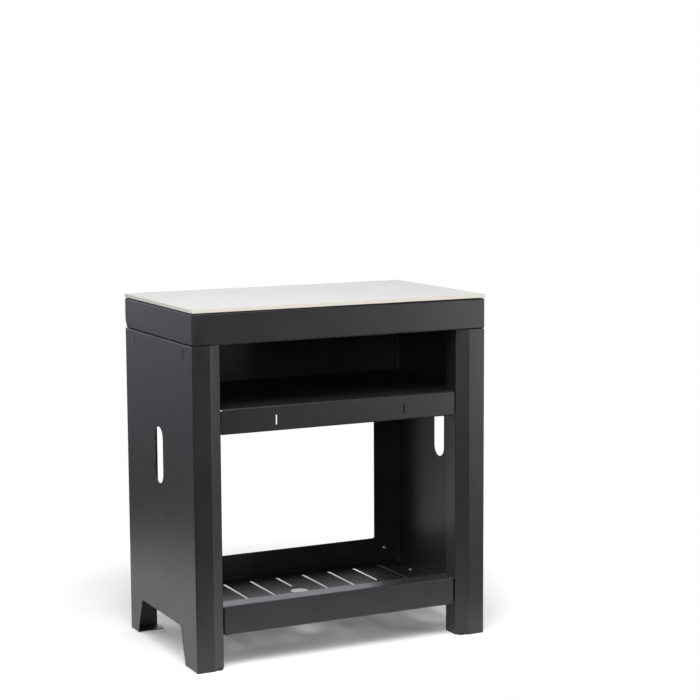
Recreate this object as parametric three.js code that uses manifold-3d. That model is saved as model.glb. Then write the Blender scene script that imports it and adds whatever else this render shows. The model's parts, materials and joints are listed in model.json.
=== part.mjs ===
// Open-fronted base unit for outdoor cooking: folded sheet steel sides, back and shelves,
// and a thin ceramic worktop. Millimetres, +X to the right, +Y to the back, +Z up.
// The origin is on the floor, under the middle of the unit.
import * as THREE from "three";
import { mergeVertices } from "three/addons/utils/BufferGeometryUtils.js";
import { RoundedBoxGeometry } from "three/addons/geometries/RoundedBoxGeometry.js";
import Module from "manifold-3d";

const wasm = await Module();
wasm.setup();

// Driving dimensions.
const WIDTH = 800;
const DEPTH = 470;
const HEIGHT = 885;
const SHEET = 2;
const BEND = 2; // inside radius of every fold
const CLEAR = 0.3; // gap between pieces that touch
const ARC_STEPS = 4; // facets along each fold
const CURVE_STEPS = 4; // half the facets of a slot's end or a small hole
const WIDE_CURVE_STEPS = 12; // the same for the hand slots

const SLAB = 9.4; // thickness of the worktop
const SLAB_EDGE = 0.9; // eased edge of the worktop
const PAD = { radius: 11, height: 1, insetX: 60, insetY: 45 };
const TRAY_HEIGHT = 77;
const TRAY_FLANGE = 25;
const TRAY_CORNER_CUT = { along: 15, up: 26, into: 28 };
const CHANNEL = { x: 200, web: 34, flange: 18, drop: 20 };

const LEG_FACE = 46; // flat front face of a leg
const LEG_CHAMFER = { x: 30.5, y: 15.8 };
const LEG_RETURN = 49;
const REAR_FLANGE = 72;
const SIDE_TOP = 796.5;
const TOP_FLANGE = 27;
const ARCH = { floorFront: -157, floorRear: 180, topFront: -125, topRear: 145, top: 97.2, radius: 12 };
const LEDGE = { front: -119, rear: 139, width: 60 };
const FOOT_TAB = { width: 71, inset: 2 };
const HAND_SLOT = { y: 2, z: 500, width: 54, length: 143 };
const HOOK_SLOT = { width: 3.6, length: 25 };
const SIDE_HOOKS = { ys: [-174, 165], z: 772.5 };

const BACK_HALF = 380; // half of the back panel's width
const WINDOW = { half: 319, low: 164, high: 600, radius: 6 };
const BACK_BOTTOM = 100;
const BACK_TOP = 793;
const BACK_TOP_FLANGE = 16;

const LIP_FRONT = -DEPTH / 2 + 17.5; // front face of both shelf lips
const LIP_HEM = 14.5;
const LIP_TAB_REAR = -172; // both lips have end tabs folded back, which reach this line
const LEG_NOTCH_BACK = -162; // the shelves are cut away in front of this line, outside the legs
const MID_DECK = 638.5;
const MID_LIP_BOTTOM = 576;
const MID_HALF = 396;
const MID_UPSTAND = 7;
const MID_REAR_FLANGE = 38;
const LIP_SLOTS = { x: 176, z: 603.5 };
const FLOOR = 97.5;
const FLOOR_HALF = 393;
const RIM_TOP = 152.5;
const RIM_DEPTH = 53.5;
const RIM_BOTTOM = 81;
const RIM_TAB_GAP = 3; // from each end tab of the bottom lip to the leg
const TAB_RELIEF = 1.5;
const REAR_LIP = 8;
const REAR_LIP_HALF = 381;
const REAR_NOTCH = 27; // depth of the cut-outs at the rear corners of the bottom shelf
const VENT = { pitch: 77, perSide: 4, width: 9, rear: 190, front: -130, middleFront: 86 };
const FLOOR_SLOT = { y: -7, width: 48, length: 143 };

const BOLT = { head: 6, rim: 0.5, dome: 3.2, shank: 3, socket: 2.1, socketDepth: 1.7 };
const NUT = { flats: 10, height: 3.2 };
const BOLT_X = { tray: 386, back: 350, floor: 365 };
const BOLT_AT = { trayY: 120, backTopZ: 765, backLowZ: 134, midRearZ: 618, midFrontY: -195, midFrontZ: 612 };
const FLOOR_BOLT_Y = [-80, 100];
const HOLE = BOLT.shank + CLEAR;

// Derived places.
const HALF_W = WIDTH / 2;
const HALF_D = DEPTH / 2;
const LEG_INNER = HALF_W - LEG_FACE - LEG_CHAMFER.x; // x of a leg's inner face
const RETURN_REAR = -HALF_D + LEG_CHAMFER.y + LEG_RETURN;
const SLAB_BOTTOM = HEIGHT - SLAB;
const TRAY_TOP = SLAB_BOTTOM - PAD.height - 2 * CLEAR;
const TRAY_BOTTOM = TRAY_TOP - TRAY_HEIGHT;
const OUTER_BEND = BEND + SHEET;
const FLANGE_FRONT = HALF_D - SHEET; // front face of the side panels' rear flanges
const BACK_REAR = FLANGE_FRONT - CLEAR;
const BACK_FRONT = BACK_REAR - SHEET;
const SHELF_REAR = BACK_FRONT - 1;
const LEDGE_BOTTOM = FLOOR - 2 * SHEET - CLEAR;
const SHELF_FRONT_HALF = LEG_INNER - 0.7;

// One material for each finish.
function finish(color, roughness, metalness) {
  return new THREE.MeshStandardMaterial({ color, roughness, metalness });
}
const BLACK_COAT = () => finish(0x2f3033, 0.5, 0.0);
const CERAMIC = () => finish(0xe3e1de, 0.45, 0.0);
const STAINLESS = () => finish(0xc4c4c0, 0.3, 1.0);
const RUBBER = () => finish(0x3a3a3a, 0.9, 0.0);

// A closed geometry as a solid that can be joined and cut.
function solid(geometry) {
  const bare = new THREE.BufferGeometry();
  bare.setAttribute("position", geometry.getAttribute("position"));
  if (geometry.index) bare.setIndex(geometry.index);
  const merged = mergeVertices(bare, 1e-4);
  const index = merged.index.array;
  const corners = [];
  for (let i = 0; i < index.length; i += 3) {
    const [a, b, c] = index.slice(i, i + 3);
    if (a !== b && b !== c && c !== a) corners.push(a, b, c);
  }
  const vertProperties = new Float32Array(merged.attributes.position.array);
  return new wasm.Manifold(new wasm.Mesh({ numProp: 3, vertProperties, triVerts: new Uint32Array(corners) }));
}

// The solid as a geometry again, with flat facets.
function geometryOf(made) {
  const mesh = made.getMesh();
  const shared = new THREE.BufferGeometry();
  shared.setAttribute("position", new THREE.BufferAttribute(new Float32Array(mesh.vertProperties), 3));
  shared.setIndex(new THREE.BufferAttribute(new Uint32Array(mesh.triVerts), 1));
  const faceted = shared.toNonIndexed();
  faceted.computeVertexNormals();
  return faceted;
}

const X = new THREE.Vector3(1, 0, 0);
const Y = new THREE.Vector3(0, 1, 0);
const Z = new THREE.Vector3(0, 0, 1);
const TURNED = {
  x: new THREE.Matrix4().makeBasis(Y, Z, X), // outline in Y and Z
  y: new THREE.Matrix4().makeBasis(X, Z, Y.clone().negate()), // outline in X and Z
  z: new THREE.Matrix4(), // outline in X and Y
};

// An outline pushed along one axis, from one place to another.
function prism(outline, axis, from, to, curveSegments = CURVE_STEPS) {
  const options = { depth: to - from, bevelEnabled: false, curveSegments };
  const geometry = new THREE.ExtrudeGeometry(outline, options);
  geometry.applyMatrix4(TURNED[axis]);
  if (axis === "x") geometry.translate(from, 0, 0);
  if (axis === "y") geometry.translate(0, to, 0);
  if (axis === "z") geometry.translate(0, 0, from);
  return solid(geometry);
}

function block(low, high) {
  const size = high.map((value, i) => value - low[i]);
  const geometry = new THREE.BoxGeometry(...size);
  geometry.translate(...low.map((value, i) => value + size[i] / 2));
  return solid(geometry);
}

function roundedBlock(low, high, radius, steps) {
  const size = high.map((value, i) => value - low[i]);
  const geometry = new RoundedBoxGeometry(...size, steps, radius);
  geometry.translate(...low.map((value, i) => value + size[i] / 2));
  return solid(geometry);
}

// Outline of a folded sheet. `face` is the row of corners of one of its faces.
// The metal lies to the left of that row.
function folded(face) {
  const corners = face.map(([u, v]) => new THREE.Vector2(u, v));
  const near = [];
  const far = [];
  const add = (point, normal) => {
    near.push(point);
    far.push(point.clone().addScaledVector(normal, SHEET));
  };
  const heading = (a, b) => b.clone().sub(a).normalize();
  const leftOf = (direction) => new THREE.Vector2(-direction.y, direction.x);
  add(corners[0], leftOf(heading(corners[0], corners[1])));
  for (let i = 1; i < corners.length - 1; i += 1) {
    const into = heading(corners[i - 1], corners[i]);
    const out = heading(corners[i], corners[i + 1]);
    const turn = Math.atan2(into.cross(out), into.dot(out));
    const side = Math.sign(turn);
    const radius = side > 0 ? OUTER_BEND : BEND;
    const start = corners[i].clone().addScaledVector(into, -radius * Math.tan(Math.abs(turn) / 2));
    const centre = start.addScaledVector(leftOf(into), side * radius);
    for (let step = 0; step <= ARC_STEPS; step += 1) {
      const normal = leftOf(into).rotateAround(new THREE.Vector2(), (turn * step) / ARC_STEPS);
      add(centre.clone().addScaledVector(normal, -side * radius), normal);
    }
  }
  const last = corners.length - 1;
  add(corners[last], leftOf(heading(corners[last - 1], corners[last])));
  return new THREE.Shape([...near, ...far.reverse()]);
}

// A slot with round ends, centred on a point, long along the outline's second direction.
function obround(u, v, width, length) {
  const radius = width / 2;
  const reach = length / 2 - radius;
  const outline = new THREE.Shape();
  outline.absarc(u, v + reach, radius, 0, Math.PI, false);
  outline.absarc(u, v - reach, radius, Math.PI, 2 * Math.PI, false);
  outline.closePath();
  return outline;
}

const hookSlot = (u, v) => obround(u, v, HOOK_SLOT.width, HOOK_SLOT.length);

function disc(u, v, radius) {
  const outline = new THREE.Shape();
  outline.absarc(u, v, radius, 0, 2 * Math.PI, false);
  return outline;
}

// A corner-rounded outline through a row of points.
function roundedOutline(points, radius) {
  const outline = new THREE.Shape();
  const corners = points.map(([u, v]) => new THREE.Vector2(u, v));
  corners.forEach((corner, i) => {
    const before = corners[(i + corners.length - 1) % corners.length];
    const after = corners[(i + 1) % corners.length];
    const arrive = corner.clone().add(before.clone().sub(corner).setLength(radius));
    const leave = corner.clone().add(after.clone().sub(corner).setLength(radius));
    if (i === 0) outline.moveTo(arrive.x, arrive.y);
    else outline.lineTo(arrive.x, arrive.y);
    outline.quadraticCurveTo(corner.x, corner.y, leave.x, leave.y);
  });
  outline.closePath();
  return outline;
}

const joined = (parts) => parts.reduce((whole, part) => whole.add(part));
const cut = (whole, tools) => tools.reduce((left, tool) => left.subtract(tool), whole);
const bothSides = (make) => [make(-1), make(1)];

// The two ends of a stretch on one side of the unit, in rising order.
const span = (side, inner, outer) => [side * inner, side * outer].sort((a, b) => a - b);

// Stock taken away on both sides of the unit, from |x| = inner to the outside.
function outside(inner, low, high) {
  return bothSides((side) => {
    const [from, to] = span(side, inner, HALF_W + 1);
    return block([from, low[0], low[1]], [to, high[0], high[1]]);
  });
}

// A bolt hole along an axis, centred on a point of the outline's plane.
const bore = (u, v, axis, from, to) => prism(disc(u, v, HOLE), axis, from, to);

function worktopSlab() {
  return roundedBlock([-HALF_W, -HALF_D, SLAB_BOTTOM], [HALF_W, HALF_D, HEIGHT], SLAB_EDGE, 1);
}

// Upside-down tray with returned lower edges. Its lower rear corners are cut off at the sides.
function topTray() {
  const t = SHEET;
  const low = [-HALF_W, -HALF_D, TRAY_BOTTOM];
  const high = [HALF_W, HALF_D, TRAY_TOP];
  const inwards = (corner, amount) => corner.map((value) => value - Math.sign(value) * amount);
  const shell = roundedBlock(low, high, OUTER_BEND, 2);
  const inside = roundedBlock([...inwards(low.slice(0, 2), t), TRAY_BOTTOM + t], inwards(high, t), BEND, 2);
  const mouth = block(
    [...inwards(low.slice(0, 2), TRAY_FLANGE), TRAY_BOTTOM - 1],
    [...inwards(high.slice(0, 2), TRAY_FLANGE), TRAY_BOTTOM + t + BEND],
  );
  const { along, up, into } = TRAY_CORNER_CUT;
  const triangle = new THREE.Shape([
    new THREE.Vector2(HALF_D - 2 * along, TRAY_BOTTOM - up),
    new THREE.Vector2(HALF_D + along, TRAY_BOTTOM - up),
    new THREE.Vector2(HALF_D + along, TRAY_BOTTOM + 2 * up),
  ]);
  const cornerCuts = bothSides((side) => prism(triangle, "x", ...span(side, HALF_W - into, HALF_W + 1)));
  const holes = bothSides((side) => {
    const pair = [-1, 1].map((end) =>
      bore(side * BOLT_X.tray, end * BOLT_AT.trayY, "z", TRAY_BOTTOM - 1, TRAY_BOTTOM + 2 * t),
    );
    return joined(pair);
  });
  return cut(shell, [inside, mouth, ...cornerCuts, ...holes]);
}

// Hat channel spot-welded under the tray, front to back. Centred on x = 0.
function stiffener() {
  const top = TRAY_TOP - SHEET - CLEAR;
  const half = CHANNEL.web / 2;
  const bottom = top - CHANNEL.drop;
  const outline = folded([
    [half + CHANNEL.flange, top],
    [half, top],
    [half, bottom + SHEET],
    [-half, bottom + SHEET],
    [-half, top],
    [-half - CHANNEL.flange, top],
  ]);
  const reach = HALF_D - SHEET - BEND - 1;
  return prism(outline, "y", -reach, reach);
}

// The left side panel with its front leg, made from one folded sheet. The right one is its mirror image.
function sidePanel() {
  const left = -HALF_W;
  const plan = folded([
    [left + REAR_FLANGE, HALF_D],
    [left, HALF_D],
    [left, -HALF_D],
    [left + LEG_FACE, -HALF_D],
    [-LEG_INNER, -HALF_D + LEG_CHAMFER.y],
    [-LEG_INNER, RETURN_REAR],
  ]);
  const wall = prism(plan, "z", 0, SIDE_TOP);
  const arch = roundedOutline(
    [
      [ARCH.floorFront + (ARCH.floorFront - ARCH.topFront), -ARCH.top],
      [ARCH.topFront, ARCH.top],
      [ARCH.topRear, ARCH.top],
      [ARCH.floorRear + (ARCH.floorRear - ARCH.topRear), -ARCH.top],
    ].reverse(),
    ARCH.radius,
  );
  const [wallOut, wallIn] = [left - 1, left + SHEET + 1];
  const topFold = { front: -HALF_D + OUTER_BEND, rear: HALF_D - OUTER_BEND };
  const rearTab = { front: ARCH.floorRear + FOOT_TAB.inset, rear: FLANGE_FRONT - FOOT_TAB.inset };
  const frontTab = { front: -rearTab.rear, rear: ARCH.floorFront - FOOT_TAB.inset };
  const foldRoom = (front, rear, low, high) => block([wallOut, front, low], [left + OUTER_BEND, rear, high]);
  const handSlot = obround(HAND_SLOT.y, HAND_SLOT.z, HAND_SLOT.width, HAND_SLOT.length);
  const opened = cut(wall, [
    prism(arch, "x", wallOut, wallIn),
    foldRoom(topFold.front, topFold.rear, SIDE_TOP - OUTER_BEND, SIDE_TOP + 1),
    foldRoom(rearTab.front, rearTab.rear, -1, OUTER_BEND),
    foldRoom(frontTab.front, frontTab.rear, -1, OUTER_BEND),
    prism(handSlot, "x", wallOut, wallIn, WIDE_CURVE_STEPS),
    ...SIDE_HOOKS.ys.map((y) => prism(hookSlot(y, SIDE_HOOKS.z), "x", wallOut, wallIn)),
  ]);
  const overlap = 3 * OUTER_BEND;
  const topFlange = folded([
    [left + TOP_FLANGE, SIDE_TOP],
    [left, SIDE_TOP],
    [left, SIDE_TOP - overlap],
  ]);
  const inward = (level, width) =>
    folded([
      [left, level + overlap],
      [left, level],
      [left + width, level],
    ]);
  const whole = joined([
    opened,
    prism(topFlange, "y", topFold.front, topFold.rear),
    prism(inward(LEDGE_BOTTOM, LEDGE.width), "y", LEDGE.front, LEDGE.rear),
    prism(inward(0, FOOT_TAB.width), "y", rearTab.front, rearTab.rear),
    prism(inward(0, FOOT_TAB.width - SHEET), "y", frontTab.front, frontTab.rear),
  ]);
  const rearHoles = [BOLT_AT.backTopZ, BOLT_AT.backLowZ, BOLT_AT.midRearZ];
  const topHoles = [-BOLT_AT.trayY, BOLT_AT.trayY];
  return cut(whole, [
    ...rearHoles.map((z) => bore(-BOLT_X.back, z, "y", FLANGE_FRONT - 1, HALF_D + 1)),
    ...topHoles.map((y) => bore(-BOLT_X.tray, y, "z", SIDE_TOP - 2 * SHEET, SIDE_TOP + 1)),
    ...FLOOR_BOLT_Y.map((y) => bore(-BOLT_X.floor, y, "z", LEDGE_BOTTOM - 1, LEDGE_BOTTOM + 2 * SHEET)),
    bore(BOLT_AT.midFrontY, BOLT_AT.midFrontZ, "x", -LEG_INNER - 2 * SHEET, -LEG_INNER + 1),
  ]);
}

// Windowed panel between the two rear flanges, folded forward along its top edge.
function backPanel() {
  const sheet = folded([
    [BACK_REAR, BACK_BOTTOM],
    [BACK_REAR, BACK_TOP],
    [BACK_REAR - BACK_TOP_FLANGE, BACK_TOP],
  ]);
  const panel = prism(sheet, "x", -BACK_HALF, BACK_HALF);
  const frame = roundedOutline(
    [
      [-WINDOW.half, WINDOW.low],
      [WINDOW.half, WINDOW.low],
      [WINDOW.half, WINDOW.high],
      [-WINDOW.half, WINDOW.high],
    ],
    WINDOW.radius,
  );
  const through = (outline) => prism(outline, "y", BACK_FRONT - 1, BACK_REAR + 1);
  const heights = [BOLT_AT.backTopZ, BOLT_AT.backLowZ, BOLT_AT.midRearZ];
  const holes = heights.flatMap((z) => bothSides((side) => through(disc(side * BOLT_X.back, z, HOLE))));
  return cut(panel, [through(frame), ...holes]);
}

// Room at each end of a lip for the tab that is folded back from it.
function tabRoom(tabOut, low, high, rear) {
  return outside(tabOut - OUTER_BEND, [LIP_FRONT - 1, low], [rear, high]);
}

// The front of a lip with a tab folded back at each end, `tabOut` being the place of their outer faces.
function lipWithTabs(tabOut, low, high) {
  const plan = folded([
    [-tabOut, LIP_TAB_REAR],
    [-tabOut, LIP_FRONT],
    [tabOut, LIP_FRONT],
    [tabOut, LIP_TAB_REAR],
  ]);
  return prism(plan, "z", low, high);
}

function legNotches(low, high) {
  return outside(SHELF_FRONT_HALF, [LIP_FRONT - 1, low], [LEG_NOTCH_BACK, high]);
}

function midShelf() {
  const sheet = folded([
    [SHELF_REAR, MID_DECK - MID_REAR_FLANGE],
    [SHELF_REAR, MID_DECK],
    [LIP_FRONT, MID_DECK],
    [LIP_FRONT, MID_LIP_BOTTOM],
    [LIP_FRONT + LIP_HEM, MID_LIP_BOTTOM],
  ]);
  const tabOut = SHELF_FRONT_HALF;
  const foldStart = MID_HALF - 3 * OUTER_BEND;
  const lipTop = MID_DECK - OUTER_BEND;
  const deck = cut(prism(sheet, "x", -foldStart, foldStart), [
    ...legNotches(MID_LIP_BOTTOM - 1, MID_DECK + 1),
    ...tabRoom(tabOut, MID_LIP_BOTTOM - 1, lipTop, LIP_FRONT + LIP_HEM + 1),
    ...tabRoom(tabOut, lipTop - 1, MID_DECK + 1, LIP_FRONT + OUTER_BEND),
    ...outside(REAR_LIP_HALF, [SHELF_REAR - OUTER_BEND, MID_LIP_BOTTOM], [SHELF_REAR + 1, MID_DECK + 1]),
  ]);
  const edge = folded([
    [-MID_HALF, MID_DECK + MID_UPSTAND],
    [-MID_HALF, MID_DECK - SHEET],
    [-foldStart, MID_DECK - SHEET],
  ]);
  const leftEdge = prism(edge, "y", LEG_NOTCH_BACK, SHELF_REAR - OUTER_BEND);
  const lip = lipWithTabs(tabOut, MID_LIP_BOTTOM + OUTER_BEND, lipTop);
  const whole = joined([deck, lip, leftEdge, leftEdge.mirror([1, 0, 0])]);
  const lipSlots = bothSides((side) =>
    prism(hookSlot(side * LIP_SLOTS.x, LIP_SLOTS.z), "y", LIP_FRONT - 1, LIP_FRONT + 2 * SHEET),
  );
  const rearHoles = bothSides((side) =>
    bore(side * BOLT_X.back, BOLT_AT.midRearZ, "y", SHELF_REAR - 2 * SHEET, SHELF_REAR + 1),
  );
  const tabHole = bore(BOLT_AT.midFrontY, BOLT_AT.midFrontZ, "x", -tabOut - 1, tabOut + 1);
  return cut(whole, [...lipSlots, ...rearHoles, tabHole]);
}

// Vent slots side by side in the floor of the bottom shelf. A wide slot takes up the front of the middle one.
function ventSlots() {
  const through = (outline, steps) => prism(outline, "z", FLOOR - 2 * SHEET, FLOOR + 1, steps);
  const wide = obround(0, FLOOR_SLOT.y, FLOOR_SLOT.width, FLOOR_SLOT.length);
  const slots = [through(wide, WIDE_CURVE_STEPS)];
  for (let i = -VENT.perSide; i <= VENT.perSide; i += 1) {
    const front = i === 0 ? VENT.middleFront : VENT.front;
    slots.push(through(obround(i * VENT.pitch, (front + VENT.rear) / 2, VENT.width, VENT.rear - front)));
  }
  return slots;
}

function bottomShelf() {
  const sheet = folded([
    [SHELF_REAR - SHEET, FLOOR + REAR_LIP],
    [SHELF_REAR - SHEET, FLOOR],
    [LIP_FRONT + RIM_DEPTH, FLOOR],
    [LIP_FRONT + RIM_DEPTH, RIM_TOP],
    [LIP_FRONT, RIM_TOP],
    [LIP_FRONT, RIM_BOTTOM],
    [LIP_FRONT + LIP_HEM, RIM_BOTTOM],
  ]);
  const holes = FLOOR_BOLT_Y.flatMap((y) =>
    bothSides((side) => bore(side * BOLT_X.floor, y, "z", FLOOR - 2 * SHEET, FLOOR + 1)),
  );
  const tabOut = LEG_INNER - RIM_TAB_GAP;
  const lipTop = RIM_TOP - OUTER_BEND;
  const notchLow = [SHELF_REAR - REAR_NOTCH, FLOOR - 2 * SHEET];
  const notchHigh = [SHELF_REAR + 1, FLOOR + REAR_LIP + 1];
  const shelf = cut(prism(sheet, "x", -FLOOR_HALF, FLOOR_HALF), [
    ...legNotches(RIM_BOTTOM - 1, RIM_TOP + 1),
    ...tabRoom(tabOut, RIM_BOTTOM - 1, lipTop, LIP_FRONT + LIP_HEM + 1),
    ...outside(REAR_LIP_HALF, notchLow, notchHigh),
    ...ventSlots(),
    ...holes,
  ]);
  return shelf.add(lipWithTabs(tabOut, RIM_BOTTOM + OUTER_BEND, lipTop - TAB_RELIEF));
}

// Button-head bolt: the shank starts at z = 0 and runs down, the domed head stands above it.
function boltGeometry(length) {
  const tip = 0.5;
  const crown = BOLT.head * 0.4;
  const profile = [new THREE.Vector2(0, -length), new THREE.Vector2(BOLT.shank - tip, -length)];
  profile.push(new THREE.Vector2(BOLT.shank, -length + tip), new THREE.Vector2(BOLT.shank, 0));
  profile.push(new THREE.Vector2(BOLT.head, 0));
  const domeSteps = 3;
  for (let i = 0; i <= domeSteps; i += 1) {
    const angle = (i / domeSteps) * (Math.PI / 2);
    const radius = crown + (BOLT.head - crown) * Math.cos(angle);
    profile.push(new THREE.Vector2(radius, BOLT.rim + (BOLT.dome - BOLT.rim) * Math.sin(angle)));
  }
  profile.push(new THREE.Vector2(0, BOLT.dome));
  const lathe = new THREE.LatheGeometry(profile, 12);
  lathe.rotateX(Math.PI / 2);
  const socket = new THREE.CylinderGeometry(BOLT.socket, BOLT.socket, 2 * BOLT.socketDepth, 6);
  socket.rotateX(Math.PI / 2);
  socket.translate(0, 0, BOLT.dome);
  return geometryOf(solid(lathe).subtract(solid(socket)));
}

// Thin hexagon nut standing on z = 0 and running down.
function nutGeometry() {
  const outline = new THREE.Shape();
  const corner = NUT.flats / Math.sqrt(3);
  for (let i = 0; i < 6; i += 1) {
    const angle = (i * Math.PI) / 3;
    const place = [corner * Math.cos(angle), corner * Math.sin(angle)];
    if (i === 0) outline.moveTo(...place);
    else outline.lineTo(...place);
  }
  outline.closePath();
  const eye = new THREE.Path();
  eye.absarc(0, 0, HOLE, 0, 2 * Math.PI, true);
  outline.holes.push(eye);
  const options = { depth: NUT.height, bevelEnabled: false, curveSegments: CURVE_STEPS };
  const geometry = new THREE.ExtrudeGeometry(outline, options);
  geometry.translate(0, 0, -NUT.height);
  return geometryOf(solid(geometry));
}

function mesh(name, geometry, material) {
  const made = new THREE.Mesh(geometry, material);
  made.name = name;
  return made;
}

// A bolt and its nut through a stack of sheets. `seat` is where the head bears, `out` points out of the head.
function boltAndNut(name, seat, out, stack) {
  const group = new THREE.Group();
  group.position.copy(seat);
  group.quaternion.setFromUnitVectors(Z, out);
  const reach = stack + 2 * CLEAR + NUT.height;
  const bolt = mesh(`${name}_bolt`, boltGeometry(reach - 0.1), STAINLESS());
  bolt.position.z = CLEAR;
  const nut = mesh(`${name}_nut`, nutGeometry(), STAINLESS());
  nut.position.z = -stack - CLEAR;
  group.add(bolt, nut);
  return group;
}

// Every joint of the frame on one side of the unit; `side` is -1 on the left and 1 on the right.
function fasteners(side) {
  const label = side < 0 ? "left" : "right";
  const towardsMiddle = X.clone().multiplyScalar(-side);
  const towardsFront = Y.clone().negate();
  const down = Z.clone().negate();
  const at = (x, y, z) => new THREE.Vector3(x, y, z);
  const backX = side * BOLT_X.back;
  const trayStack = TRAY_BOTTOM + SHEET - (SIDE_TOP - SHEET);
  const tabFace = side * (SHELF_FRONT_HALF - SHEET);
  const tabStack = LEG_INNER + SHEET - (SHELF_FRONT_HALF - SHEET);
  const group = new THREE.Group();
  const add = (place, seat, out, stack) => group.add(boltAndNut(`${place}_${label}`, seat, out, stack));
  add("tray_front", at(side * BOLT_X.tray, -BOLT_AT.trayY, SIDE_TOP - SHEET), down, trayStack);
  add("tray_rear", at(side * BOLT_X.tray, BOLT_AT.trayY, SIDE_TOP - SHEET), down, trayStack);
  add("back_top", at(backX, BACK_FRONT, BOLT_AT.backTopZ), towardsFront, HALF_D - BACK_FRONT);
  add("back_low", at(backX, BACK_FRONT, BOLT_AT.backLowZ), towardsFront, HALF_D - BACK_FRONT);
  add("mid_rear", at(backX, SHELF_REAR - SHEET, BOLT_AT.midRearZ), towardsFront, HALF_D - SHELF_REAR + SHEET);
  add("mid_front", at(tabFace, BOLT_AT.midFrontY, BOLT_AT.midFrontZ), towardsMiddle, tabStack);
  add("floor_front", at(side * BOLT_X.floor, FLOOR_BOLT_Y[0], FLOOR), Z, FLOOR - LEDGE_BOTTOM);
  add("floor_rear", at(side * BOLT_X.floor, FLOOR_BOLT_Y[1], FLOOR), Z, FLOOR - LEDGE_BOTTOM);
  return group;
}

function worktopPads() {
  const group = new THREE.Group();
  for (const [row, y] of [["front", -1], ["rear", 1]]) {
    for (const [label, x] of [["left", -1], ["right", 1]]) {
      const geometry = new THREE.CylinderGeometry(PAD.radius, PAD.radius, PAD.height, 20);
      geometry.rotateX(Math.PI / 2);
      const pad = mesh(`worktop_pad_${row}_${label}`, geometry, RUBBER());
      const place = [x * (HALF_W - PAD.insetX), y * (HALF_D - PAD.insetY), TRAY_TOP + CLEAR + PAD.height / 2];
      pad.position.set(...place);
      group.add(pad);
    }
  }
  return group;
}

function sidePanels() {
  const group = new THREE.Group();
  const geometry = geometryOf(sidePanel());
  const left = mesh("side_panel_left", geometry, BLACK_COAT());
  const right = mesh("side_panel_right", geometry, BLACK_COAT());
  right.scale.x = -1;
  group.add(left, right);
  return group;
}

function stiffeners() {
  const group = new THREE.Group();
  for (const [label, side] of [["left", -1], ["right", 1]]) {
    const channel = mesh(`top_stiffener_${label}`, geometryOf(stiffener()), BLACK_COAT());
    channel.position.x = side * CHANNEL.x;
    group.add(channel);
  }
  return group;
}

function baseUnit() {
  const unit = new THREE.Group();
  unit.add(
    mesh("worktop_slab", geometryOf(worktopSlab()), CERAMIC()),
    worktopPads(),
    mesh("top_tray", geometryOf(topTray()), BLACK_COAT()),
    stiffeners(),
    sidePanels(),
    mesh("back_panel", geometryOf(backPanel()), BLACK_COAT()),
    mesh("mid_shelf", geometryOf(midShelf()), BLACK_COAT()),
    mesh("bottom_shelf", geometryOf(bottomShelf()), BLACK_COAT()),
    fasteners(-1),
    fasteners(1),
  );
  // The nuts stand out behind the rear flanges, so the unit moves forward to sit centred over the origin.
  unit.position.y = -(CLEAR + NUT.height) / 2;
  const placed = new THREE.Group();
  placed.add(unit);
  return placed;
}

export default baseUnit();
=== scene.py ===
import json
import math

import bmesh
import bpy
from mathutils import Matrix, Vector


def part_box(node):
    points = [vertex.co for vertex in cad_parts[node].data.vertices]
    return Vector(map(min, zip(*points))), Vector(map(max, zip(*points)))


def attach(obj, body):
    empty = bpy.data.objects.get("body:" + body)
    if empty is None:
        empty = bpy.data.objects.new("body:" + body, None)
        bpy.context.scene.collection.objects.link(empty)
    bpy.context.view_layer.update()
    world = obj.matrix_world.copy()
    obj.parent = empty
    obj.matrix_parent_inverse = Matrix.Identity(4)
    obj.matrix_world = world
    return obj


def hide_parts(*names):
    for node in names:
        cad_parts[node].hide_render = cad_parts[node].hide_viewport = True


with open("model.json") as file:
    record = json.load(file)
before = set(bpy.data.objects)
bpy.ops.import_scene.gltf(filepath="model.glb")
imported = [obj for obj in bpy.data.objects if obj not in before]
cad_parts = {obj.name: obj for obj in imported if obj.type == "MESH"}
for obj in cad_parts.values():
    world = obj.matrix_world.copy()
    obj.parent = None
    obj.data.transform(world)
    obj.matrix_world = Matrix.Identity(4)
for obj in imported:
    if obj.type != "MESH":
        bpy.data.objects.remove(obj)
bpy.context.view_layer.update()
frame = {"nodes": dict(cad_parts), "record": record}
MM = 0.001
BODY = "root"

SLOT_OF = {row["node"]: row["material_slot"] for row in frame["record"]["subparts"]}
COAT, CERAMIC, STAINLESS, RUBBER = (
    "black_powder_coat", "ceramic_worktop", "stainless_fasteners", "rubber_pads")


# ---------------------------------------------------------------- camera

FOCAL_PIXELS = 1860.0  # focal length in pixels of a 700-pixel-wide frame
FRAME_PIXELS = 700.0
SENSOR = 36.0
CLIP_NEAR, CLIP_FAR = 0.05, 100
CAMERA_AT = Vector((-1.9992, -4.3085, 1.3419))
YAW, PITCH, ROLL = (math.radians(a) for a in (26.33, -7.24, -0.30))


def make_camera():
    forward = Vector((
        math.sin(YAW) * math.cos(PITCH),
        math.cos(YAW) * math.cos(PITCH),
        math.sin(PITCH),
    ))
    level = Vector((math.cos(YAW), -math.sin(YAW), 0))
    up = level.cross(forward)
    right = level * math.cos(ROLL) + up * math.sin(ROLL)
    top = up * math.cos(ROLL) - level * math.sin(ROLL)
    data = bpy.data.cameras.new("camera")
    data.sensor_width = SENSOR
    data.lens = FOCAL_PIXELS * SENSOR / FRAME_PIXELS
    data.clip_start, data.clip_end = CLIP_NEAR, CLIP_FAR
    camera = bpy.data.objects.new("camera", data)
    turn = Matrix((right, top, -forward)).transposed().to_4x4()
    camera.matrix_world = Matrix.Translation(CAMERA_AT) @ turn
    bpy.context.scene.collection.objects.link(camera)
    bpy.context.scene.camera = camera


make_camera()


# ---------------------------------------------------------------- materials

WHITE = (1, 1, 1, 1)

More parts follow.
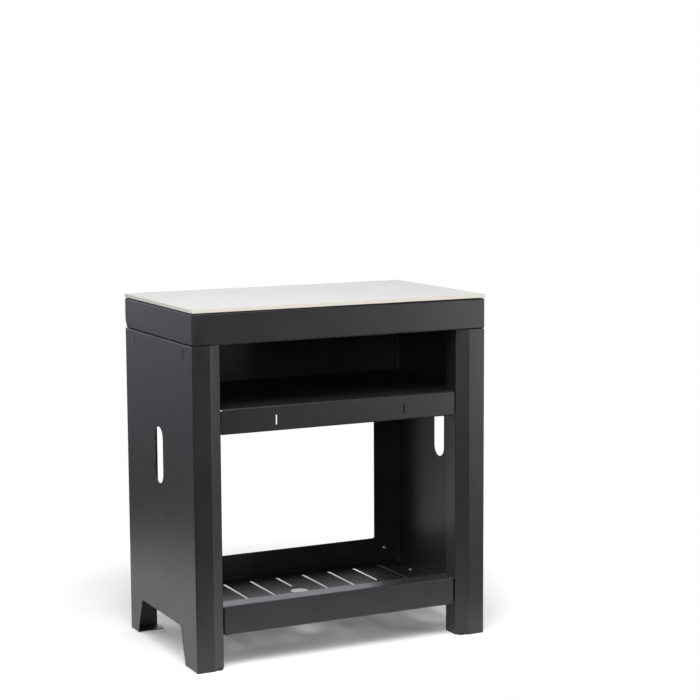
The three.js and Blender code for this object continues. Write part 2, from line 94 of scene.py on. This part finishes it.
# Base colours, linear.
COAT_DARK = (0.0105, 0.0108, 0.0118, 1)
COAT_LIGHT = (0.0135, 0.0138, 0.0150, 1)
COAT_SPECK = (0.024, 0.0245, 0.026, 1)
COAT_DUST = (0.034, 0.034, 0.034, 1)
COAT_SHINE = (1.0, 0.97, 1.03, 1)
STONE_DARK = (0.372, 0.372, 0.361, 1)
STONE_LIGHT = (0.402, 0.402, 0.391, 1)
STONE_SPECK = (0.30, 0.285, 0.26, 1)
STONE_SIDE_PAINTED_LIGHT = (0.71, 0.68, 0.60, 1)  # the cut edge: its warm tint is the stone's own, and it is painted lighter than the top as painted light, making up for the weaker light on it
STONE_EASED = (0.40, 0.34, 0.25, 1)  # the tan line between the top and the cut edge
STEEL_DARK = (0.52, 0.51, 0.49, 1)
STEEL_LIGHT = (0.64, 0.63, 0.61, 1)
RUBBER_DARK = (0.018, 0.018, 0.018, 1)
RUBBER_LIGHT = (0.035, 0.034, 0.033, 1)

# How fine each texture is, in noise cells per metre.
COAT_GRAIN, COAT_PEEL, COAT_DUST_PATCH, COAT_CLOUD = 1050, 240, 26, 9
STONE_FINE, STONE_CLOUD = 420, 5
STEEL_LINES, STEEL_CLOUD = 3800, 300
RUBBER_GRAIN = 2200

# How far each bump stands up at full strength.
COAT_PEEL_HIGH, COAT_GRAIN_HIGH = 0.25 * MM, 0.1 * MM
STONE_HIGH, STEEL_HIGH, RUBBER_HIGH = 0.1 * MM, 0.02 * MM, 0.1 * MM

# How strong each bump is, from 0 to 1.
COAT_PEEL_BUMP, COAT_GRAIN_BUMP, STONE_BUMP, STEEL_BUMP, RUBBER_BUMP = 0.2, 0.4, 0.08, 0.15, 0.2

# Spans of a noise's value over which something sets in.
MIDDLE = (0.3, 0.7)
COAT_TONE_SPAN, COAT_SPECK_SPAN, DUST_SPAN = (0.35, 0.65), (0.62, 0.75), (0.56, 0.80)
STONE_SPECK_SPAN = (0.60, 0.78)
OFF_ON, ON_OFF = (0.0, 1.0), (1.0, 0.0)
COAT_SPECK_SHARE, STONE_SPECK_SHARE = (0.0, 0.35), (0.0, 0.4)

# Roughness over the middle span, and what the clouds add to the coat's.
COAT_ROUGH, COAT_ROUGH_CLOUD = (0.38, 0.46), (-0.02, 0.02)
STONE_ROUGH, STEEL_ROUGH, RUBBER_ROUGH = (0.40, 0.52), (0.22, 0.38), (0.75, 0.92)

# Spans of how far the worktop's surface faces up, and the share there of the tan line and of the cut edge's
# colour, which is painted lighter than the top as painted light.
PAINTED_SIDE_SPAN, PAINTED_SIDE_SHARE = (0.2, 0.8), (0.9, 0.0)
EASED_FROM, EASED_FROM_SHARE = (0.25, 0.55), (0.0, 0.8)
EASED_TO = (0.86, 0.97)

COAT_IOR = 1.5
DUST_SHARE, DUST_ROUGH = 0.22, 0.06  # what full dust adds to the coat's colour and roughness
LINE_STRETCH = (1.0, 0.15, 1.0)  # the steel's scratches run along y


class Nodes:
    """Short names for building the node tree of a material or a world."""

    def __init__(self, owner):
        owner.use_nodes = True
        self.tree = owner.node_tree
        self.tree.nodes.clear()

    def add(self, kind, settings=None, **inputs):
        """A shader node; an input is named by its socket's name, or i and its number."""
        node = self.tree.nodes.new("ShaderNode" + kind)
        for name, value in (settings or {}).items():
            setattr(node, name, value)
        for name, value in inputs.items():
            self.feed(node, name.replace("_", " "), value)
        return node

    def feed(self, node, name, value):
        numbered = name[0] == "i" and name[1:].isdigit()
        socket = node.inputs[int(name[1:])] if numbered else node.inputs[name]
        if isinstance(value, bpy.types.NodeSocket):
            self.tree.links.new(value, socket)
        else:
            socket.default_value = value

    def noise(self, where, scale, detail=3.0, rough=0.5):
        made = self.add("TexNoise", Scale=scale, Detail=detail, Roughness=rough, Vector=where)
        return made.outputs["Fac"]

    def ramp(self, value, span, to):
        """The value's span mapped to another, and held at its ends."""
        made = self.add("MapRange", Value=value, From_Min=span[0], From_Max=span[1])
        self.feed(made, "To Min", to[0])
        self.feed(made, "To Max", to[1])
        return made.outputs["Result"]

    def maths(self, what, a, b=0.0):
        return self.add("Math", {"operation": what}, i0=a, i1=b).outputs[0]

    def vector(self, what, a, **others):
        return self.add("VectorMath", {"operation": what}, i0=a, **others)

    def mix(self, share, a, b):
        return self.add("Mix", {"data_type": "RGBA"}, i0=share, i6=a, i7=b).outputs[2]

    def bump(self, height, strength, distance, **below):
        made = self.add("Bump", Strength=strength, Distance=distance, Height=height, **below)
        return made.outputs["Normal"]

    def place(self):
        return self.add("TexCoord").outputs["Object"]

    def up(self, direction):
        return self.add("SeparateXYZ", Vector=direction).outputs["Z"]

    def finish(self, shader):
        output = self.add("OutputMaterial")
        self.tree.links.new(shader.outputs[0], output.inputs["Surface"])


def powder_coat():
    """Satin black polyester powder: a fine hammered grain over a slow orange peel, and a little dust."""
    material = bpy.data.materials.new("powder_coat")
    n = Nodes(material)
    where = n.place()
    grain = n.noise(where, COAT_GRAIN, 2.0, 0.6)
    peel = n.noise(where, COAT_PEEL, 2.0)
    cloud = n.noise(where, COAT_CLOUD)
    dust = n.ramp(n.noise(where, COAT_DUST_PATCH, 6.0, 0.68), DUST_SPAN, OFF_ON)
    tone = n.mix(n.ramp(cloud, COAT_TONE_SPAN, OFF_ON), COAT_DARK, COAT_LIGHT)
    colour = n.mix(n.ramp(grain, COAT_SPECK_SPAN, COAT_SPECK_SHARE), tone, COAT_SPECK)
    colour = n.mix(n.maths("MULTIPLY", dust, DUST_SHARE), colour, COAT_DUST)
    rough = n.maths("ADD", n.ramp(grain, MIDDLE, COAT_ROUGH), n.ramp(cloud, MIDDLE, COAT_ROUGH_CLOUD))
    rough = n.maths("ADD", rough, n.maths("MULTIPLY", dust, DUST_ROUGH))
    peeled = n.bump(peel, COAT_PEEL_BUMP, COAT_PEEL_HIGH)
    normal = n.bump(grain, COAT_GRAIN_BUMP, COAT_GRAIN_HIGH, Normal=peeled)
    shader = n.add("BsdfPrincipled", Base_Color=colour, Roughness=rough, Normal=normal, IOR=COAT_IOR,
                   Specular_Tint=COAT_SHINE)
    n.finish(shader)
    return material


def ceramic():
    """Honed sintered stone: off-white, with faint clouds, a fine mineral speck and a warmer cut edge, painted
    lighter than the top as painted light for the weaker light on it.
    """
    material = bpy.data.materials.new("ceramic")
    n = Nodes(material)
    where = n.place()
    cloud = n.noise(where, STONE_CLOUD, 5.0, 0.6)
    fine = n.noise(where, STONE_FINE, 3.0, 0.7)
    tone = n.mix(n.ramp(cloud, MIDDLE, OFF_ON), STONE_DARK, STONE_LIGHT)
    colour = n.mix(n.ramp(fine, STONE_SPECK_SPAN, STONE_SPECK_SHARE), tone, STONE_SPECK)
    up = n.up(n.add("NewGeometry").outputs["Normal"])
    # Painted light: faces turned sideways, the cut edge, get a lighter colour than the top, standing in for
    # the difference in light on them.
    side = n.ramp(n.maths("ABSOLUTE", up), PAINTED_SIDE_SPAN, PAINTED_SIDE_SHARE)
    colour = n.mix(side, colour, STONE_SIDE_PAINTED_LIGHT)
    eased = n.maths(
        "MULTIPLY", n.ramp(up, EASED_FROM, EASED_FROM_SHARE), n.ramp(up, EASED_TO, ON_OFF))
    colour = n.mix(eased, colour, STONE_EASED)
    shader = n.add("BsdfPrincipled", Base_Color=colour, Roughness=n.ramp(fine, MIDDLE, STONE_ROUGH),
                   Normal=n.bump(fine, STONE_BUMP, STONE_HIGH))
    n.finish(shader)
    return material


def stainless():
    """Tumbled stainless steel with short fine scratches."""
    material = bpy.data.materials.new("stainless")
    n = Nodes(material)
    where = n.place()
    stretch = n.add("Mapping", Vector=where, Scale=LINE_STRETCH).outputs["Vector"]
    lines = n.noise(stretch, STEEL_LINES, 2.0)
    cloud = n.noise(where, STEEL_CLOUD, 2.0)
    shader = n.add("BsdfPrincipled", Metallic=1.0, Base_Color=n.mix(cloud, STEEL_DARK, STEEL_LIGHT),
                   Roughness=n.ramp(lines, MIDDLE, STEEL_ROUGH), Normal=n.bump(lines, STEEL_BUMP, STEEL_HIGH))
    n.finish(shader)
    return material


def rubber():
    """Matt black rubber with a fine grain."""
    material = bpy.data.materials.new("rubber")
    n = Nodes(material)
    grain = n.noise(n.place(), RUBBER_GRAIN)
    shader = n.add("BsdfPrincipled", Base_Color=n.mix(grain, RUBBER_DARK, RUBBER_LIGHT),
                   Roughness=n.ramp(grain, MIDDLE, RUBBER_ROUGH),
                   Normal=n.bump(grain, RUBBER_BUMP, RUBBER_HIGH))
    n.finish(shader)
    return material


MATERIALS = {COAT: powder_coat(), CERAMIC: ceramic(), STAINLESS: stainless(), RUBBER: rubber()}


# ---------------------------------------------------------------- sheets and worktop

WELD = 0.002 * MM  # corners closer than this are one
FLAT = math.radians(0.5)  # faces that turn less than this are one
SHEET_BREAK, SHEET_CORNER = 0.4, 40  # the broken edge in mm, and the least angle in degrees that gets one
STONE_BREAK, STONE_CORNER = 0.3, 20
SHEETS = (
    "top_tray", "side_panel_left", "side_panel_right", "back_panel", "mid_shelf", "bottom_shelf",
    "top_stiffener_left", "top_stiffener_right")


def piece(name, mesh, node):
    """A shown piece that stands for a CAD node."""
    made = bpy.data.objects.new(name, mesh)
    bpy.context.scene.collection.objects.link(made)
    mesh.materials.clear()
    mesh.materials.append(MATERIALS[SLOT_OF[node]])
    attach(made, BODY)
    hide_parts(node)
    return made


def clean_copy(node):
    """The node's faces with shared corners and no seams across flat areas, as a bmesh."""
    source = frame["nodes"][node].data
    bare = bpy.data.meshes.new(node)
    bare.from_pydata([v.co for v in source.vertices], [], [p.vertices[:] for p in source.polygons])
    bm = bmesh.new()
    bm.from_mesh(bare)
    bpy.data.meshes.remove(bare)
    bmesh.ops.remove_doubles(bm, verts=bm.verts, dist=WELD)
    bmesh.ops.dissolve_limit(bm, angle_limit=FLAT, verts=bm.verts, edges=bm.edges)
    return bm


def sheet_piece(node, break_edge, corner):
    """A folded sheet or a slab with its cut edges slightly broken and its folds shaded round."""
    bm = clean_copy(node)
    mesh = bpy.data.meshes.new(node + "_looks")
    bm.to_mesh(mesh)
    bm.free()
    mesh.shade_smooth()
    made = piece(node + "_looks", mesh, node)
    bevel = made.modifiers.new("edges", "BEVEL")
    bevel.width = break_edge * MM
    bevel.segments = 2
    bevel.limit_method = "ANGLE"
    bevel.angle_limit = math.radians(corner)
    bevel.use_clamp_overlap = False
    bevel.miter_outer = "MITER_ARC"
    # Without the overlap clamp a few corners overshoot, so the result is kept inside the CAD node's box.
    broken = bpy.data.meshes.new_from_object(made.evaluated_get(bpy.context.evaluated_depsgraph_get()))
    made.modifiers.clear()
    low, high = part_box(node)
    for vert in broken.vertices:
        vert.co = [max(low[i], min(high[i], vert.co[i])) for i in range(3)]
    made.data = broken
    made.modifiers.new("even", "WEIGHTED_NORMAL").keep_sharp = True


for name in SHEETS:
    sheet_piece(name, SHEET_BREAK, SHEET_CORNER)
sheet_piece("worktop_slab", STONE_BREAK, STONE_CORNER)


# ---------------------------------------------------------------- fasteners and pads

AROUND = 48
ANGLES = [2 * math.pi * i / AROUND for i in range(AROUND)]
SECTOR = math.pi / 3  # one side of a hexagon
SHARP = math.radians(32)  # an edge that turns more than this is shaded sharp

# Button-head screw.
HEAD, DOME, SHANK = 6 * MM, 3.2 * MM, 3 * MM
SOCKET, SOCKET_DEPTH, SOCKET_POINT, SOCKET_EASE = 1.9 * MM, 1.7 * MM, 0.5 * MM, 0.2 * MM
TIP_EASE, RIM_EASE, RIM = 0.5 * MM, 0.25 * MM, 0.5 * MM
CROWN, CROWN_STEPS = 2.9 * MM, 8

# Thin hexagon nut.
NUT_FLATS, NUT_HIGH, NUT_BORE = 5 * MM, 3.2 * MM, 3.25 * MM
NUT_EASE, NUT_EDGE = 0.35 * MM, 0.97 * NUT_FLATS
NUT_FALL = math.tan(math.radians(30))

# Rubber disc: its broken edge, and a shallow dish as shares of its radius.
PAD_EASE, PAD_DISH, PAD_DISH_FLOOR = 0.2 * MM, 0.5, 0.42


def turned(name, rings):
    """A mesh through rings of points; a ring of one point closes an end."""
    bm = bmesh.new()
    rows = [[bm.verts.new(point) for point in ring] for ring in rings]
    for low, high in zip(rows, rows[1:]):
        count = max(len(low), len(high))
        for i in range(count):
            j = (i + 1) % count
            if len(low) == 1:
                bm.faces.new((low[0], high[j], high[i]))
            elif len(high) == 1:
                bm.faces.new((low[i], low[j], high[0]))
            else:
                bm.faces.new((low[i], low[j], high[j], high[i]))
    bmesh.ops.recalc_face_normals(bm, faces=bm.faces)
    mesh = bpy.data.meshes.new(name)
    bm.to_mesh(mesh)
    bm.free()
    mesh.shade_smooth()
    mesh.set_sharp_from_angle(angle=SHARP)
    return mesh


def circle(radius, z):
    return [(radius * math.cos(a), radius * math.sin(a), z) for a in ANGLES]


def hexagon(flats, z):
    """Points of a hexagon at the same angles as a circle's, `flats` being half the width across flats."""
    return [
        (r * math.cos(a), r * math.sin(a), z)
        for a in ANGLES
        for r in [flats / math.cos((a % SECTOR) - SECTOR / 2)]
    ]


def bolt_mesh(length):
    """The head's bearing face is at z = 0 and the shank runs down."""
    rings = [[(0, 0, -length)], circle(SHANK - TIP_EASE, -length), circle(SHANK, -length + TIP_EASE)]
    rings += [circle(SHANK, 0), circle(HEAD - RIM_EASE, 0), circle(HEAD, RIM_EASE), circle(HEAD, RIM)]
    for i in range(1, CROWN_STEPS + 1):
        angle = i / CROWN_STEPS * math.pi / 2
        rings.append(circle(CROWN + (HEAD - CROWN) * math.cos(angle), RIM + (DOME - RIM) * math.sin(angle)))
    rings += [hexagon(SOCKET + SOCKET_EASE, DOME), hexagon(SOCKET, DOME - SOCKET_EASE)]
    rings += [hexagon(SOCKET, DOME - SOCKET_DEPTH), [(0, 0, DOME - SOCKET_DEPTH - SOCKET_POINT)]]
    return turned("bolt", rings)


def nut_mesh():
    """Its corners are chamfered; it hangs down from z = 0."""
    outer = hexagon(NUT_FLATS, 0)
    drop = [max(0.0, math.hypot(x, y) - NUT_EDGE) * NUT_FALL for x, y, _ in outer]
    top = [(x, y, -d) for (x, y, _), d in zip(outer, drop)]
    low = [(x, y, -NUT_HIGH + d) for (x, y, _), d in zip(outer, drop)]
    eye = NUT_BORE + NUT_EASE
    rings = [circle(NUT_BORE, -NUT_EASE), circle(eye, 0), circle(NUT_EDGE, 0), top, low]
    rings += [circle(NUT_EDGE, -NUT_HIGH), circle(eye, -NUT_HIGH), circle(NUT_BORE, -NUT_HIGH + NUT_EASE)]
    mesh = turned("nut", rings)
    bm = bmesh.new()
    bm.from_mesh(mesh)
    bmesh.ops.bridge_loops(bm, edges=[e for e in bm.edges if e.is_boundary])  # the bore
    bmesh.ops.recalc_face_normals(bm, faces=bm.faces)
    bm.to_mesh(mesh)
    bm.free()
    return mesh


def out_of_head(name):
    """Direction out of a bolt's head, and from a nut towards it, by the place in the name."""
    if name.startswith("tray"):
        return Vector((0, 0, -1))
    if name.startswith("floor"):
        return Vector((0, 0, 1))
    if name.startswith("mid_front"):
        return Vector((1 if "_left_" in name else -1, 0, 0))
    return Vector((0, -1, 0))


def fastener_piece(node):
    out = out_of_head(node)
    low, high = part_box(node)
    axis = max(range(3), key=lambda i: abs(out[i]))
    head_end = high if out[axis] > 0 else low
    if out.z < 0:
        turn = Matrix.Rotation(math.pi, 4, "X")
    else:
        turn = Vector((0, 0, 1)).rotation_difference(out).to_matrix().to_4x4()
    seat = (low + high) / 2
    seat[axis] = head_end[axis]
    if node.endswith("_bolt"):
        mesh = bolt_mesh(high[axis] - low[axis] - DOME)
        seat[axis] -= out[axis] * DOME
    else:
        mesh = nut_mesh()
    mesh.transform(Matrix.Translation(seat) @ turn)
    piece(node + "_looks", mesh, node)


def pad_piece(node):
    low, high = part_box(node)
    centre = (low + high) / 2
    radius = (high.x - low.x) / 2
    rings = [[(0, 0, low.z)], circle(radius - PAD_EASE, low.z), circle(radius, low.z + PAD_EASE)]
    rings += [circle(radius, high.z - PAD_EASE), circle(radius - PAD_EASE, high.z)]
    rings += [circle(radius * PAD_DISH, high.z), circle(radius * PAD_DISH_FLOOR, high.z - PAD_EASE)]
    rings.append([(0, 0, high.z - PAD_EASE)])
    mesh = turned(node, rings)
    mesh.transform(Matrix.Translation((centre.x, centre.y, 0)))
    piece(node + "_looks", mesh, node)


NAMES = sorted(frame["nodes"])
for name in NAMES:
    if name.endswith(("_bolt", "_nut")):
        fastener_piece(name)
for name in NAMES:
    if name.startswith("worktop_pad"):
        pad_piece(name)


# ---------------------------------------------------------------- floor and light

FLOOR_RADIUS = 1.12
FLOOR_SIDES = 128
FLOOR_FADE = (0.84, 0.99 * FLOOR_RADIUS)  # the radii between which the floor fades into the background
FLOOR_MIDDLE = (-0.04, 0.36)
FLOOR_DROP = 0.1 * MM
FLOOR_COLOUR, FLOOR_ROUGH = (0.94, 0.94, 0.942, 1), 0.85
GLOW_SPAN, GLOW = (0.45, 0.95), (0.01, 0.22)  # radii, and the floor's own light there


def make_floor():
    """A pale disc that turns into the white background towards its rim."""
    bm = bmesh.new()
    bmesh.ops.create_circle(bm, cap_ends=True, segments=FLOOR_SIDES, radius=FLOOR_RADIUS)
    mesh = bpy.data.meshes.new("floor")
    bm.to_mesh(mesh)
    bm.free()
    floor = bpy.data.objects.new("floor", mesh)
    floor.location = (*FLOOR_MIDDLE, -FLOOR_DROP)
    bpy.context.scene.collection.objects.link(floor)
    material = bpy.data.materials.new("floor")
    n = Nodes(material)
    length = n.vector("LENGTH", n.place()).outputs["Value"]
    shader = n.add("BsdfPrincipled", Base_Color=FLOOR_COLOUR, Roughness=FLOOR_ROUGH, Emission_Color=WHITE,
                   Emission_Strength=n.ramp(length, GLOW_SPAN, GLOW),
                   Alpha=n.ramp(length, FLOOR_FADE, ON_OFF))
    n.finish(shader)
    mesh.materials.append(material)


WARM = (1.0, 0.99, 0.975)
KEY_WHITE = (1.0, 0.99, 0.98)
COOL = (0.98, 0.985, 1.08)

# Soft panels all round the studio, in degrees: the middle's bearing (0 is the front, 90 the right), half the
# width, the lowest and highest elevation, then the brightness and the tint.
PANELS = [
    (0, 180, 50, 95, 0.05, WARM),
    (180, 90, 20, 50, 0.88, WARM),
    (-150, 35, 18, 50, 1.3, WARM),
    (0, 180, -95, -30, 0.55, WARM),
    (165, 19, -2, 20, 2.0, COOL),
    (120, 24, -5, 20, 0.5, COOL),
    (-154, 22, -8, -2, 0.8, COOL),
    (-154, 22, -2, 7, 1.7, COOL),
    (42, 8, -30, 20, 0.4, WARM),
]
PANEL_EDGE = 3  # softness of a panel's side edges
PANEL_END = 1.5  # softness of its lower and upper edges

# Square lamps: the name, the place, what it points at, the side, the watts and the colour.
LAMPS = [
    ("top_front", (0, -1.2, 3.4), (0, 0, 0), 1.8, 64, KEY_WHITE),
    ("top_left", (-1.5, -1.0, 3.0), (0, 0, 0.2), 2.0, 33, KEY_WHITE),
    ("front_high", (-0.9, -2.2, 3.4), (0, 0, 0.3), 2.0, 34, KEY_WHITE),
    ("right_front", (2.6, -2.2, 0.6), (0.2, -0.2, 0.5), 1.1, 47, KEY_WHITE),
    ("left_front", (-1.7, -3.6, 1.3), (0.1, 0, 0.5), 0.9, 29, KEY_WHITE),
    ("left_low", (-2.4, -1.4, 1.6), (-0.3, 0, 0.9), 1.0, 18, COOL),
]


def sine(degrees):
    return math.sin(math.radians(max(-90, min(90, degrees))))


def end_span(degrees):
    """The heights between which a panel's lower or upper edge sets in."""
    return sine(degrees - PANEL_END), sine(degrees + PANEL_END)


def panel_light(n, across, height, panel):
    """Colour of one panel in a direction, given its level part and its height."""
    bearing, half, low, high, level, tint = panel
    share = n.ramp(height, end_span(low), (0.0, level))
    if high < 90:
        share = n.maths("MULTIPLY", share, n.ramp(height, end_span(high), ON_OFF))
    if half < 180:
        facing = (math.sin(math.radians(bearing)), -math.cos(math.radians(bearing)), 0)
        turn = n.vector("DOT_PRODUCT", across, i1=facing).outputs["Value"]
        edge_span = [math.cos(math.radians(half + side)) for side in (PANEL_EDGE, -PANEL_EDGE)]
        share = n.maths("MULTIPLY", share, n.ramp(turn, edge_span, OFF_ON))
    return n.vector("SCALE", tint, Scale=share).outputs["Vector"]


def make_world():
    """White to the eye; to reflections and soft light, a dim studio with panels."""
    world = bpy.data.worlds.new("studio")
    bpy.context.scene.world = world
    n = Nodes(world)
    direction = n.add("TexCoord").outputs["Generated"]
    level = n.vector("MULTIPLY", direction, i1=(1, 1, 0)).outputs["Vector"]
    across = n.vector("NORMALIZE", level).outputs["Vector"]
    height = n.up(direction)
    total = panel_light(n, across, height, PANELS[0])
    for panel in PANELS[1:]:
        total = n.vector("ADD", total, i1=panel_light(n, across, height, panel)).outputs["Vector"]
    soft = n.add("Background", Color=total)
    seen = n.add("Background", Color=WHITE)
    eye = n.add("LightPath").outputs["Is Camera Ray"]
    both = n.add("MixShader", Fac=eye, i1=soft.outputs[0], i2=seen.outputs[0])
    n.tree.links.new(both.outputs[0], n.add("OutputWorld").inputs["Surface"])


def area_light(name, at, towards, size, power, colour):
    data = bpy.data.lights.new(name, "AREA")
    data.size = size
    data.energy = power
    data.color = colour
    lamp = bpy.data.objects.new(name, data)
    lamp.location = at
    lamp.rotation_mode = "QUATERNION"
    lamp.rotation_quaternion = (Vector(towards) - Vector(at)).to_track_quat("-Z", "Y")
    lamp.visible_camera = False
    bpy.context.scene.collection.objects.link(lamp)


make_floor()
make_world()
for lamp in LAMPS:
    area_light(*lamp)

bpy.context.scene.view_settings.view_transform = "Standard"
